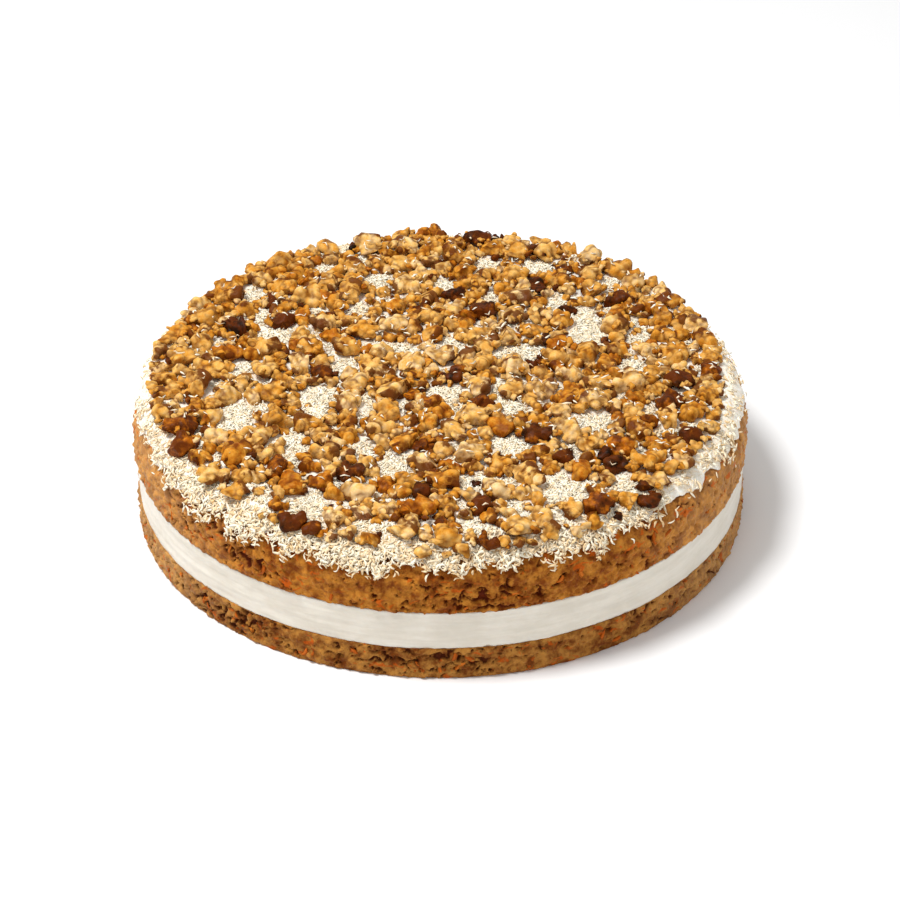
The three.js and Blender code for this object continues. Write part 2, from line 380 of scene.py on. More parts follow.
def walnut_material():
    """Toasted walnut: golden flesh, with painted shade browner in the folds and underneath, and browner
    where some pieces keep their skin.
    """
    material, tree, shader = new_material("walnut", 0.42, specular=0.06, subsurface=0.12, depth=0.001)
    patches = mottle(tree, 0.0035, 0.0008, 0.2)
    swing = product(tree, calculate(tree, "SUBTRACT", patches, 0.5), 1.1)
    tone = calculate(tree, "ADD", attribute(tree, "tone"), swing)
    colour = colour_stops(tree, tone, [
        (0.0, linear(240, 206, 150)), (0.2, linear(230, 180, 98)), (0.42, linear(212, 144, 46)),
        (0.6, linear(176, 98, 14)), (0.78, linear(88, 42, 8)), (1.0, linear(30, 15, 5)),
    ])
    # Painted shade: darker brown in the creases and on the underside, broken up by blotches
    blotch = noise_value(tree, object_place(tree), 0.0045, detail=1.0)
    uneven = spread(tree, blotch, 0.3, 0.55, 0.25, 1.0)
    fold_shade = product(tree, attribute(tree, "fold"), uneven)
    colour = blend_colours(tree, product(tree, fold_shade, 0.9), colour, linear(96, 40, 4))
    edge = calculate(tree, "ADD", attribute(tree, "skin"), product(tree, swing, 0.7))
    bare = calculate(tree, "FRACT", product(tree, attribute(tree, "tone"), 37.0))
    edge = calculate(tree, "SUBTRACT", edge, product(tree, bare, 0.3))
    skin = product(tree, spread(tree, edge, 0.5, 0.66), 0.9)
    colour = blend_colours(tree, skin, colour, linear(94, 42, 6))
    rough = noise_value(tree, object_place(tree), 0.0014, detail=2.0)
    finish_material(tree, shader, colour, rough, bump=0.5, depth=0.0006)
    return material


# Painted sheen on the sponge's left and right flanks: its paler colour, its strength, and where it
# starts and where it is fullest
SIDE_SHEEN_COLOUR = linear(234, 186, 122)
SIDE_SHEEN_SHARE = 0.32
SIDE_SHEEN_START = 60 * MM
SIDE_SHEEN_END = 114 * MM
MOTTLE = mottle_group()
FLECKS = fleck_group()
UPPER_CRUMB = sponge_material("upper_crumb", linear(194, 126, 45), linear(120, 56, 4),
                              linear(88, 28, 2), linear(198, 88, 10), 0.24)
# The lower layer is the same crumb, given darker and greyer colours: painted shade
SHADED_LOWER_CRUMB = sponge_material("lower_crumb", linear(178, 122, 54), linear(108, 52, 7),
                              linear(78, 28, 2), linear(184, 80, 10), 0.32)
CARROT = carrot_material()
CREAM = cream_material()
COAT = coat_material()
COCONUT = coconut_material()
WALNUT = walnut_material()


# Meshes

def new_object(name, vertices, faces, values=None):
    """A mesh object at the origin. Values are numbers for each point, by name."""
    mesh = bpy.data.meshes.new(name)
    mesh.from_pydata(vertices, [], faces)
    for title, numbers in (values or {}).items():
        mesh.attributes.new(title, "FLOAT", "POINT").data.foreach_set("value", numbers)
    made = bpy.data.objects.new(name, mesh)
    bpy.context.scene.collection.objects.link(made)
    return made


def turned(name, profile_at, columns):
    """A closed body turned about Z. profile_at(turn) gives rows of (radius, height, relief share)."""
    turns = [2 * math.pi * column / columns for column in range(columns)]
    profiles = [profile_at(turn) for turn in turns]
    rows = len(profiles[0])
    base, top = profiles[0][0], profiles[0][-1]
    vertices = [(0, 0, base[1])]
    relief = [base[2]]
    for row in range(1, rows - 1):
        for turn, profile in zip(turns, profiles):
            radius, height, share = profile[row]
            vertices.append((radius * math.cos(turn), radius * math.sin(turn), height))
            relief.append(share)
    vertices.append((0, 0, top[1]))
    relief.append(top[2])
    last = len(vertices) - 1
    faces = []
    for column in range(columns):
        beside = (column + 1) % columns
        faces.append((0, 1 + beside, 1 + column))
        for row in range(rows - 3):
            low, high = 1 + row * columns, 1 + (row + 1) * columns
            faces.append((low + column, low + beside, high + beside, high + column))
        high = 1 + (rows - 3) * columns
        faces.append((high + column, high + beside, last))
    made = new_object(name, vertices, faces, {"relief": relief})
    made.data.shade_smooth()
    return made


def on_shoulder(angle, offset=0.0):
    reach = SHOULDER_RADIUS + offset
    radius = CAKE_RADIUS - SHOULDER_RADIUS + reach * math.cos(angle)
    return radius, SPONGE_TOP - SHOULDER_RADIUS + reach * math.sin(angle)


def settled(made):
    """The object's mesh with its modifiers carried out."""
    bpy.context.view_layer.update()
    evaluated = made.evaluated_get(bpy.context.evaluated_depsgraph_get())
    return bpy.data.meshes.new_from_object(evaluated)


def with_nodes(made, tree, values):
    """Runs a node tree on an object and keeps its result as the object's plain mesh."""
    modifier = made.modifiers.new("nodes", "NODES")
    modifier.node_group = tree
    for item in tree.interface.items_tree:
        if item.item_type == "SOCKET" and item.in_out == "INPUT" and item.name in values:
            modifier[item.identifier] = values[item.name]
    mesh = settled(made)
    made.modifiers.remove(modifier)
    made.data = mesh
    mesh.name = made.name


def place_piece(made, nodes):
    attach(made, BODY)
    for name in nodes:
        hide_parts(name)


# Geometry Nodes trees

GEOMETRY_OUT = [("Geometry", "Geometry")]


def stored(tree, name, kind):
    """A value that the mesh's points carry."""
    return node(tree, "GeometryNodeInputNamedAttribute", {"Name": name}, data_type=kind).outputs[0]


def relief_inputs(tree):
    """Where each point of the surface is, and its share of the relief."""
    return tree.nodes.new("GeometryNodeInputPosition").outputs[0], stored(tree, "relief", "FLOAT")


def along_normal(tree, geometry, height, material, result):
    """Ends a relief tree: moves the points out along the normal and sets the material."""
    normal = tree.nodes.new("GeometryNodeInputNormal").outputs[0]
    offset = node(tree, "ShaderNodeVectorMath", {0: normal, 3: height}, operation="SCALE").outputs[0]
    inputs = {"Geometry": geometry, "Offset": offset}
    moved = node(tree, "GeometryNodeSetPosition", inputs).outputs[0]
    finish_tree(tree, moved, material, result)


def finish_tree(tree, geometry, material, result):
    inputs = {"Geometry": geometry, "Material": material}
    finished = node(tree, "GeometryNodeSetMaterial", inputs).outputs[0]
    tree.links.new(finished, result[0])


def crumb_relief_tree():
    """Open crumb: soft lumps, rounded crumbs and uneven pores pushed in along the surface's normal."""
    inputs = [
        ("Geometry", "Geometry", None), ("Lump size", "Float", 0.007), ("Lump depth", "Float", 0.0005),
        ("Crumb size", "Float", 0.002), ("Crumb depth", "Float", 0.0004), ("Pore size", "Float", 0.002),
        ("Pore depth", "Float", 0.0012), ("Pore stretch", "Float", 0.6), ("Patch size", "Float", 0.03),
        ("Material", "Material", None),
    ]
    tree, given, result = new_group("Crumb relief", "GeometryNodeTree", inputs, GEOMETRY_OUT)
    place, weight = relief_inputs(tree)

    def centred(size, detail):
        return calculate(tree, "SUBTRACT", noise_value(tree, place, size, detail), 0.5)

    lumps = product(tree, centred(given["Lump size"], 1.0), given["Lump depth"])
    cells = node(tree, "ShaderNodeTexVoronoi", {
        "Vector": place, "Scale": sized(tree, given["Crumb size"]), "Randomness": 1.0,
    }).outputs["Distance"]
    crumbs = product(tree, calculate(tree, "SUBTRACT", 0.45, cells), given["Crumb depth"])
    along = squeezed(tree, place, given["Pore stretch"])
    hole = noise_value(tree, along, given["Pore size"], 3.0, 0.6, 0.6)
    patchy = product(tree, centred(given["Patch size"], 0.0), 0.3)
    openness = calculate(tree, "ADD", hole, patchy)
    # The sunk pores; their mask is also kept so that the crumb's colour paints shade in them
    pore = product(tree, spread(tree, openness, 0.54, 0.65), weight)
    sunk = product(tree, pore, given["Pore depth"])
    raised = calculate(tree, "ADD", product(tree, lumps, 2.0), crumbs)
    height = calculate(tree, "SUBTRACT", product(tree, raised, weight), sunk)
    marked = node(tree, "GeometryNodeStoreNamedAttribute", {
        "Geometry": given["Geometry"], "Name": "pore", "Value": pore,
    }, data_type="FLOAT", domain="POINT").outputs[0]
    along_normal(tree, marked, height, given["Material"], result)
    return tree


def soft_relief_tree():
    """Spread cream: long level waves and small soft lumps along the normal."""
    inputs = [
        ("Geometry", "Geometry", None), ("Wave size", "Float", 0.004), ("Wave depth", "Float", 0.0004),
        ("Wave stretch", "Float", 0.12), ("Lump size", "Float", 0.003), ("Lump depth", "Float", 0.0002),
        ("Material", "Material", None),
    ]
    tree, given, result = new_group("Soft relief", "GeometryNodeTree", inputs, GEOMETRY_OUT)
    place, weight = relief_inputs(tree)
    along = squeezed(tree, place, given["Wave stretch"])

    def height_of(vector, size, depth, detail):
        value = calculate(tree, "SUBTRACT", noise_value(tree, vector, size, detail), 0.5)
        return product(tree, product(tree, value, 2.0), depth)

    waves = height_of(along, given["Wave size"], given["Wave depth"], 2.0)
    lumps = height_of(place, given["Lump size"], given["Lump depth"], 2.0)
    height = product(tree, calculate(tree, "ADD", waves, lumps), weight)
    along_normal(tree, given["Geometry"], height, given["Material"], result)
    return tree


def scatter_tree():
    """Puts a copy of one of the shapes on each point, by the point's own kind, turn and size."""
    inputs = [
        ("Geometry", "Geometry", None), ("Shapes", "Collection", None), ("Size", "Float", MM),
        ("Unevenness", "Float", 0.12), ("Seed", "Int", 7), ("Material", "Material", None),
    ]
    tree, given, result = new_group("Scatter", "GeometryNodeTree", inputs, GEOMETRY_OUT)
    shapes = node(tree, "GeometryNodeCollectionInfo", {
        "Collection": given["Shapes"], "Separate Children": True, "Reset Children": True,
    }).outputs[0]
    angles = stored(tree, "turn", "FLOAT_VECTOR")
    turn = node(tree, "FunctionNodeEulerToRotation", {0: angles}).outputs[0]
    least = calculate(tree, "SUBTRACT", 1.0, given["Unevenness"])
    most = calculate(tree, "ADD", 1.0, given["Unevenness"])
    uneven = node(tree, "FunctionNodeRandomValue", {
        "Min": least, "Max": most, "Seed": given["Seed"],
    }, data_type="FLOAT_VECTOR").outputs[0]
    size = product(tree, stored(tree, "size", "FLOAT"), given["Size"])
    scale = node(tree, "ShaderNodeVectorMath", {0: uneven, 3: size}, operation="SCALE").outputs[0]
    copies = node(tree, "GeometryNodeInstanceOnPoints", {
        "Points": given["Geometry"], "Instance": shapes, "Pick Instance": True,
        "Instance Index": stored(tree, "kind", "INT"), "Rotation": turn, "Scale": scale,
    }).outputs[0]
    real = node(tree, "GeometryNodeRealizeInstances", {"Geometry": copies}).outputs[0]
    finish_tree(tree, real, given["Material"], result)
    return tree


CRUMB_RELIEF = crumb_relief_tree()
SOFT_RELIEF = soft_relief_tree()
SCATTER = scatter_tree()


# Layers

def rows_between(low, high, step):
    count = max(2, round((high - low) / step) + 1)
    return [float(value) for value in np.linspace(low, high, count)]


def wander(turn, size, seed=0):
    """Noise round the cake, from about -1 to 1, whose bends are about as long as size."""
    place = Vector((math.cos(turn), math.sin(turn), 0)) * (CAKE_RADIUS / size)
    return noise.fractal(place + Vector((0, 0, seed)), 1.0, 2.0, 3)


def torn(turn, seed):
    """How far the torn edge of a sponge strays up or down at a place round the cake."""
    return TORN_EDGE * wander(turn, TORN_EDGE_BEND, seed)


def sponge_profile(base, top, rounded, turn):
    """Rows of a sponge layer from the middle of its base to the middle of its top."""
    edge = 1.1 * MM
    fine = 0.45 * MM
    inner = 0.6 * CAKE_RADIUS
    outer = CAKE_RADIUS - 3 * MM
    corner = CAKE_RADIUS - 0.7 * MM
    lip = CAKE_RADIUS - 0.15 * MM
    lift = torn(turn, 3) if rounded else 0.0
    rows = [(0, base, 0), (inner, base, 0), (outer, base, 0)]
    rows += [(corner, base + max(0, lift), 0), (lip, base + lift + 0.35 * MM, 0.35)]
    if not rounded:
        drop = torn(turn, 8)
        rows += [(CAKE_RADIUS, height, 1) for height in rows_between(base + edge, top - edge, fine)]
        rows += [(lip, top + drop - 0.2 * MM, 0.5), (corner, top + min(0, drop), 0.15)]
        rows += [(outer, top, 0), (inner, top, 0), (0, top, 0)]
        return rows
    wall_top = top - SHOULDER_RADIUS
    rows += [(CAKE_RADIUS, height, 1) for height in rows_between(base + edge, wall_top, fine)]
    shown = math.radians(62)
    covered = math.radians(76)
    for angle in rows_between(0, shown, fine / SHOULDER_RADIUS)[1:]:
        rows.append((*on_shoulder(angle), 1 - 0.6 * angle / shown))
    rows.append((*on_shoulder(covered), 0))
    rows += [(CAKE_RADIUS - SHOULDER_RADIUS, top, 0), (0.5 * CAKE_RADIUS, top, 0), (0, top, 0)]
    return rows


def make_sponge(name, replaced, material, base, top, rounded):
    made = turned(name, lambda turn: sponge_profile(base, top, rounded, turn), SPONGE_COLUMNS)
    with_nodes(made, CRUMB_RELIEF, {
        "Lump size": 0.005, "Lump depth": 0.0011, "Crumb size": 0.0027, "Crumb depth": 0.0015,
        "Pore size": 0.0027, "Pore depth": 0.0016, "Pore stretch": 0.75, "Patch size": 0.03,
        "Material": material,
    })
    place_piece(made, [replaced])


def make_filling():
    fine = 0.5 * MM
    inner = FILLING_RADIUS - 2 * MM
    rows = [(0, FILLING_BASE, 0), (inner, FILLING_BASE, 0)]
    rows += [(FILLING_RADIUS, height, 1) for height in rows_between(FILLING_BASE, FILLING_TOP, fine)]
    rows += [(inner, FILLING_TOP, 0), (0, FILLING_TOP, 0)]
    made = turned("cream_layer", lambda turn: rows, FILLING_COLUMNS)
    with_nodes(made, SOFT_RELIEF, {
        "Wave size": 0.0035, "Wave depth": 0.0006, "Wave stretch": 0.1, "Lump size": 0.004,
        "Lump depth": 0.0003, "Material": CREAM,
    })
    place_piece(made, ["cream_filling"])


def coconut_cover(front):
    """How thickly coconut covers the shoulder: all of it in front, less behind, none at the sides."""
    return max(front, -BACK_COVER * front)


def coat_profile(turn):
    """The coat from the middle of its underside, round its wavy rim, to the middle of its top."""
    rise = COAT_RIM_RISE * coconut_cover(-math.sin(turn)) ** 0.6
    rim = COAT_RIM_ANGLE + rise + COAT_RIM_WAVE * wander(turn, COAT_RIM_BEND)
    under = 0.1 * MM
    coat_top = SPONGE_TOP + COAT_THICKNESS
    rows = [(0, SPONGE_TOP + under, 0), (CAKE_RADIUS - SHOULDER_RADIUS, SPONGE_TOP + under, 0)]
    quarter = math.pi / 2
    rows += [(*on_shoulder(rim + (quarter - rim) * share, under), 0) for share in (0.6, 0.3, 0.0)]
    for share in rows_between(0, 1, 0.04):
        angle = rim + (quarter - rim) * share
        thickness = COAT_RIM_THICKNESS + (COAT_THICKNESS - COAT_RIM_THICKNESS) * min(1, 1.5 * share)
        rows.append((*on_shoulder(angle, thickness), min(1, 0.25 + 3 * share)))
    return rows + [(2 * MM, coat_top, 1), (0, coat_top, 1)]


def make_coat():
    made = turned("cream_coat", coat_profile, COAT_COLUMNS)
    with_nodes(made, SOFT_RELIEF, {
        "Wave size": 0.006, "Wave depth": 0.0006, "Wave stretch": 1.0, "Lump size": 0.0022,
        "Lump depth": 0.0004, "Material": COAT,
    })
    place_piece(made, ["nut_topping"])


# Small shapes, each about 1 long, for scattering

def collect(name, shapes):
    """A collection of shape objects, kept out of the scene, for the scatter tree to pick from."""
    collection = bpy.data.collections.new(name)
    for index, (vertices, faces, values) in enumerate(shapes):
        made = new_object(f"{name}_{index:02d}", vertices, faces, values)
        made.data.shade_smooth()
        bpy.context.scene.collection.objects.unlink(made)
        collection.objects.link(made)
    return collection


def ball(subdivisions):
    form = bmesh.new()
    bmesh.ops.create_icosphere(form, subdivisions=subdivisions, radius=1.0)
    points = np.array([vertex.co[:] for vertex in form.verts])
    faces = [tuple(vertex.index for vertex in face.verts) for face in form.faces]
    form.free()
    return points, faces


def unit(vector):
    return vector / np.linalg.norm(vector)


def nut_balls(rng):
    """The balls that a piece of walnut is made of, as (middle, radius): a core with folds round it."""
    core = []
    for part in range(4):
        core.append((unit(rng.normal(size=3)) * rng.uniform(0.1, 0.22), rng.uniform(0.15, 0.21)))
    balls = list(core)
    for fold in range(rng.integers(6, 10)):
        middle, radius = core[rng.integers(len(core))]
        heading = unit(rng.normal(size=3) * (1, 1, 0.7))
        onward = unit(np.cross(heading, rng.normal(size=3)))
        size = rng.uniform(0.085, 0.13)
        for step in range(rng.integers(1, 5)):
            balls.append((middle + heading * (radius + 0.4 * size), size * rng.uniform(0.85, 1.05)))
            heading = unit(heading + onward * rng.uniform(0.4, 0.6))
    return balls


def fused(balls, triangles):
    """One closed skin over a few balls, smoothed where they meet, as its points and faces."""
    directions, ball_faces = ball(2)
    vertices = np.vstack([middle + radius * directions for middle, radius in balls])
    faces = []
    for index in range(len(balls)):
        faces += [tuple(index * len(directions) + corner for corner in face) for face in ball_faces]
    made = new_object("fused", vertices.tolist(), faces)
    skin = made.modifiers.new("skin", "REMESH")
    skin.mode = "VOXEL"
    skin.voxel_size = 0.04
    smooth = made.modifiers.new("smooth", "SMOOTH")
    smooth.factor = 0.5
    smooth.iterations = 3
    whole = settled(made)
    fewer = made.modifiers.new("fewer", "DECIMATE")
    fewer.ratio = min(1, triangles / (2 * len(whole.polygons)))
    mesh = settled(made)
    points = np.array([vertex.co[:] for vertex in mesh.vertices])
    faces = [tuple(face.vertices) for face in mesh.polygons]
    for spare in (whole, mesh):
        bpy.data.meshes.remove(spare)
    bpy.data.objects.remove(made)
    return points, faces


# Shares of a nut's length, for the painted shade in its creases
CREASE_SHADE_WIDTH = 0.06
CREASE_SHADE_DEPTH = 0.05


def nut_shape(seed, triangles):
    """A piece of chopped walnut: folds run together, with broken faces, laid on its flat side."""
    rng = np.random.default_rng(seed)
    balls = nut_balls(rng)
    points, faces = fused(balls, triangles)
    # Painted shade: how close each point lies to a crease where two balls meet
    gaps = [np.linalg.norm(points - middle, axis=1) - radius for middle, radius in balls]
    nearest, second = np.sort(gaps, axis=0)[:2]
    between = np.clip(1 - (second - nearest) / CREASE_SHADE_WIDTH, 0, 1)
    crease_shade = between * np.clip(1 - nearest / CREASE_SHADE_DEPTH, 0, 1)
    points -= points.mean(0)
    longest_first = np.linalg.eigh(np.cov(points.T))[1][:, ::-1]
    points = points @ longest_first * (1, 1, np.linalg.det(longest_first))
    for cut in range(rng.integers(2, 5)):
        plane = unit(rng.normal(size=3))
        past = points @ plane - rng.uniform(0.5, 0.8) * (points @ plane).max()
        points -= np.where(past > 0, past, 0)[:, None] * plane * 0.9
    wobble = np.array([noise.noise(Vector(point) * 5 + Vector((seed, 0, 0))) for point in points])
    points *= 1 + 0.12 * wobble[:, None]
    points -= (points.max(0) + points.min(0)) / 2
    points *= np.array((1, NUT_WIDTH_SHARE, NUT_HEIGHT_SHARE)) / (points.max(0) - points.min(0))
    skin = np.clip(0.5 + 1.1 * (points @ unit(rng.normal(size=3))) + 0.3 * wobble, 0, 1)
    # The fold value is painted shade in the creases and on the underside, where the piece shades itself
    fold = np.maximum(crease_shade, np.clip(-0.15 - points[:, 2] * 4, 0, 0.95))
    return points.tolist(), faces, {"skin": skin.tolist(), "fold": fold.tolist()}


def strip_shape(seed, steps, width, thickness, bend):
    """A shred: a thin bent strip, three-sided in section, pointed a little at its ends."""
    rng = np.random.default_rng(seed)
    curve, twist = rng.uniform(-bend, bend, 2), rng.uniform(-0.9, 0.9)
    vertices, faces = [], []
    for step in range(steps + 1):
        share = step / steps
        x = share - 0.5
        y, z = curve * (x * x - 0.12)
        narrow = (1 - 0.55 * abs(2 * x) ** 3) * rng.uniform(0.85, 1.15)
        for corner in range(3):
            angle = twist * share + corner * 2 * math.pi / 3
            side, up = math.cos(angle) * width * narrow, math.sin(angle) * thickness * narrow
            vertices.append((x, float(y + side), float(z + up)))
    for step in range(steps):
        for corner in range(3):
            here, there = 3 * step + corner, 3 * step + (corner + 1) % 3
            faces.append((here, there, there + 3, here + 3))
    faces += [(2, 1, 0), (3 * steps, 3 * steps + 1, 3 * steps + 2)]
    return vertices, faces, {}


def scatter(name, shapes, points, material, nodes, seed, unevenness=0.12):
    """One plain mesh of all the copies of a kind. Each point is (place, turn, size, tone, kind)."""
    made = new_object(name, [point[0] for point in points], [])
    mesh = made.data
    turns = np.array([point[1] for point in points], float)
    mesh.attributes.new("turn", "FLOAT_VECTOR", "POINT").data.foreach_set("vector", turns.ravel())
    for title, column in (("size", 2), ("tone", 3)):
        numbers = [float(point[column]) for point in points]
        mesh.attributes.new(title, "FLOAT", "POINT").data.foreach_set("value", numbers)
    kinds = [int(point[4]) for point in points]
    mesh.attributes.new("kind", "INT", "POINT").data.foreach_set("value", kinds)
    with_nodes(made, SCATTER, {
        "Shapes": shapes, "Size": MM, "Unevenness": unevenness, "Seed": seed, "Material": material,
    })
    made.data.shade_smooth()
    place_piece(made, nodes)


# Where the walnuts lie

def random_from(seed):
    """Steady random numbers from 0 to 1, the same as the solid's."""
    state = seed

    def draw():
        nonlocal state
        state = (state + 0x6D2B79F5) & 0xFFFFFFFF
        mixed = ((state ^ (state >> 15)) * (state | 1)) & 0xFFFFFFFF
        mixed ^= (mixed + (mixed ^ (mixed >> 7)) * (mixed | 61)) & 0xFFFFFFFF
        return (mixed ^ (mixed >> 14)) / 4294967296

    return draw


def nut_reach(angle):
    """How far the nuts reach from the middle, in mm: least on the right, less at the front."""
    front = max(0, -math.sin(angle))
    right = max(0, math.cos(angle))
    return NUT_REACH - FRONT_SETBACK * front - RIGHT_SETBACK * right**RIGHT_NARROWING


def coat_height(radius):
    """The height of the coat's surface in mm, at one or many distances in mm from the middle."""
    reach = (SHOULDER_RADIUS + COAT_THICKNESS) / MM
    past = np.maximum(0, radius - (CAKE_RADIUS - SHOULDER_RADIUS) / MM)
    return (SPONGE_TOP - SHOULDER_RADIUS) / MM + np.sqrt(np.maximum(0, reach**2 - past**2))


class Pile:
    """The places taken so far, and the height of what lies there, on a grid, all in mm."""
    STEP = 0.5
    HALF = 120
    BARE_HEIGHT = 0.4

    def __init__(self):
        self.placed = []
        cells = np.arange(-self.HALF, self.HALF, self.STEP)
        self.x, self.y = np.meshgrid(cells, cells)
        self.coat = coat_height(np.hypot(self.x, self.y))
        self.height = self.coat.copy()

    def window(self, x, y, reach):
        column, row = int((x + self.HALF) / self.STEP), int((y + self.HALF) / self.STEP)
        wide = int(reach / self.STEP) + 1
        rows = slice(max(0, row - wide), row + wide + 1)
        return rows, slice(max(0, column - wide), column + wide + 1)

    def level(self, x, y, reach):
        """The mean height under a piece."""
        rows, columns = self.window(x, y, reach)
        near = np.hypot(self.x[rows, columns] - x, self.y[rows, columns] - y) <= reach
        return float(self.height[rows, columns][near].mean())

    def bare(self, x, y):
        """Whether the coat shows at a place."""
        rows, columns = self.window(x, y, 0)
        return float((self.height - self.coat)[rows, columns].max()) < self.BARE_HEIGHT

    def lay(self, x, y, size, centre):
        reach = 0.45 * size
        rows, columns = self.window(x, y, reach)
        away = np.hypot(self.x[rows, columns] - x, self.y[rows, columns] - y) / reach
        dome = centre + 0.29 * size * np.sqrt(np.maximum(0, 1 - away**2))
        current = self.height[rows, columns]
        self.height[rows, columns] = np.where(away < 1, np.maximum(current, dome), current)
        self.placed.append((x, y, size))


def in_clearing(x, y, margin):
    return any(math.hypot(x - cx, y - cy) < reach + margin for cx, cy, reach in CLEARINGS)


def in_gap(x, y, size):
    """Whether a nut would cover one of the small or winding gaps that the coconut shows in."""
    patch = noise.noise(Vector((x / PATCH_SIZE, y / PATCH_SIZE, 3.7)))
    winding = abs(noise.noise(Vector((x / WINDING_SIZE, y / WINDING_SIZE, 8.1))))
    level = BACK_PATCH_LEVEL if y > BACK_START else PATCH_LEVEL
    return patch > level or winding < WINDING_WIDTH * size


def large_nuts():
    """The nuts that the solid has: (x, y, size, turn) in mm, the dark ones first."""
    places = [(x, y, size, math.radians(turn)) for x, y, size, turn in DARK_NUTS]
    taken = np.array([place[:3] for place in places], float)
    draw = random_from(NUT_SEED)
    for index in range(NUT_COUNT):
        size = LARGEST_NUT + (SMALLEST_NUT - LARGEST_NUT) * index / (NUT_COUNT - 1)
        for attempt in range(NUT_TRIES):
            angle = 2 * math.pi * draw()
            radius = (nut_reach(angle) - NUT_INSET * size) * math.sqrt(draw())
            turn = 2 * math.pi * draw()
            x, y = radius * math.cos(angle), radius * math.sin(angle)
            if in_clearing(x, y, NUT_MARGIN * size):
                continue
            apart = np.hypot(taken[:, 0] - x, taken[:, 1] - y) - NUT_SPACING * (size + taken[:, 2]) / 2
            if apart.min() <= 0:
                continue
            places.append((x, y, size, turn))
            taken = np.vstack([taken, (x, y, size)])
            break
    return places


def nut_tone(rng):
    """Mostly golden, some light, some deeper, and a few brown or nearly black."""
    share = rng.random()
    if share < 0.06:
        return rng.uniform(0.74, 1.0)
    if share < 0.13:
        return rng.uniform(0.48, 0.62)
    return rng.uniform(0.1, 0.46)


def lay_large_nuts(pile, rng):
    points = []
    for index, (x, y, size, turn) in enumerate(large_nuts()):
        centre = coat_height(math.hypot(x, y)) + NUT_HEIGHT_SHARE * size / 2 - NUT_SINK
        dark = index < len(DARK_NUTS)
        tone = rng.uniform(0.7, 0.95) if dark else nut_tone(rng)
        lean = rng.uniform(-0.12, 0.12, 2)
        place = (x * MM, y * MM, centre * MM)
        points.append((place, (*lean, turn), size, tone, index % NUT_KINDS))
        pile.lay(x, y, size, centre)
    return points


def lay_small_nuts(pile, rng, count, largest, smallest, spacing, margin, tries):
    """Smaller pieces that fill in between and on the large ones, clear of the bare places."""
    points = []
    for index in range(count):
        size = largest + (smallest - largest) * index / (count - 1)
        taken = np.array(pile.placed)
        for attempt in range(tries):
            angle = rng.uniform(0, 2 * math.pi)
            reach = nut_reach(angle) - 2 + FRONT_OVERHANG * max(0, -math.sin(angle)) ** 4
            radius = (reach - 0.25 * size) * math.sqrt(rng.random())
            x, y = radius * math.cos(angle), radius * math.sin(angle)
            if in_clearing(x, y, margin - 1.5 * rng.random()):
                continue
            if in_gap(x, y, size):
                continue
            apart = np.hypot(taken[:, 0] - x, taken[:, 1] - y) - spacing * (size + taken[:, 2]) / 2
            if apart.min() <= 0:
                continue
            centre = pile.level(x, y, 0.3 * size) + 0.16 * size
            turn = (*rng.uniform(-0.5, 0.5, 2), rng.uniform(0, 2 * math.pi))
            place = (x * MM, y * MM, centre * MM)
            points.append((place, turn, size, nut_tone(rng), rng.integers(NUT_KINDS)))
            pile.lay(x, y, size, centre)
            break
    return points


def nut_shapes(name, first_seed, triangles):
    return collect(name, [nut_shape(first_seed + kind, triangles) for kind in range(NUT_KINDS)])


def make_nuts(pile):
    rng = np.random.default_rng(TOPPING_SEED)
    fine = nut_shapes("nut_shape", 0, LARGE_NUT_TRIANGLES)
    plain = nut_shapes("nut_chip", 40, MEDIUM_NUT_TRIANGLES)
    tiny = nut_shapes("nut_crumb", 80, SMALL_NUT_TRIANGLES)
    large = lay_large_nuts(pile, rng)
    half = len(large) // 2
    kept = ["nut_topping"]
    scatter("walnuts_large_a", fine, large[:half], WALNUT, kept, 1, 0.05)
    scatter("walnuts_large_b", fine, large[half:], WALNUT, kept, 2, 0.05)
    medium = lay_small_nuts(pile, rng, **MEDIUM_NUTS)
    scatter("walnuts_medium", plain, medium, WALNUT, kept, 3)
    small = lay_small_nuts(pile, rng, **SMALL_NUTS)
    scatter("walnuts_small", tiny, small, WALNUT, kept, 4, 0.2)


# Coconut

def shred_turn(rng, x, y, lean):
    """A turn that lays a shred along the coat: leaning outwards by an angle, and turned about."""
    tilt = rng.uniform(-0.25, 0.25, 2)
    heading = math.atan2(y, x)
    about = rng.uniform(0, 2 * math.pi)
    flat = Vector((math.cos(about), math.sin(about), 0))
    turned_flat = flat.to_track_quat("X", "Z")
    leaning = Quaternion((-math.sin(heading), math.cos(heading), 0), lean)
    loose = Euler((tilt[0], tilt[1], 0)).to_quaternion()
    return tuple((leaning @ turned_flat @ loose).to_euler())


def lay_top_shreds(pile, rng, count):
    """Shreds on the flat top: a thick mat in the bare places, and a few strays over the nuts."""
    points = []
    while len(points) < count:
        angle = rng.uniform(0, 2 * math.pi)
        radius = TOP_SHRED_REACH * math.sqrt(rng.random())
        x, y = radius * math.cos(angle), radius * math.sin(angle)
        shown = pile.bare(x, y)
        if not shown and rng.random() > STRAY_SHARE:
            continue
        height = pile.level(x, y, 0.5) + rng.uniform(0.1, 0.9 if shown else 0.3)
        place = (x * MM, y * MM, height * MM)
        turn = shred_turn(rng, x, y, 0.0)
        size = rng.uniform(*TOP_SHRED_LENGTHS)
        points.append((place, turn, size, rng.uniform(0, 1), rng.integers(SHRED_KINDS)))
    return points


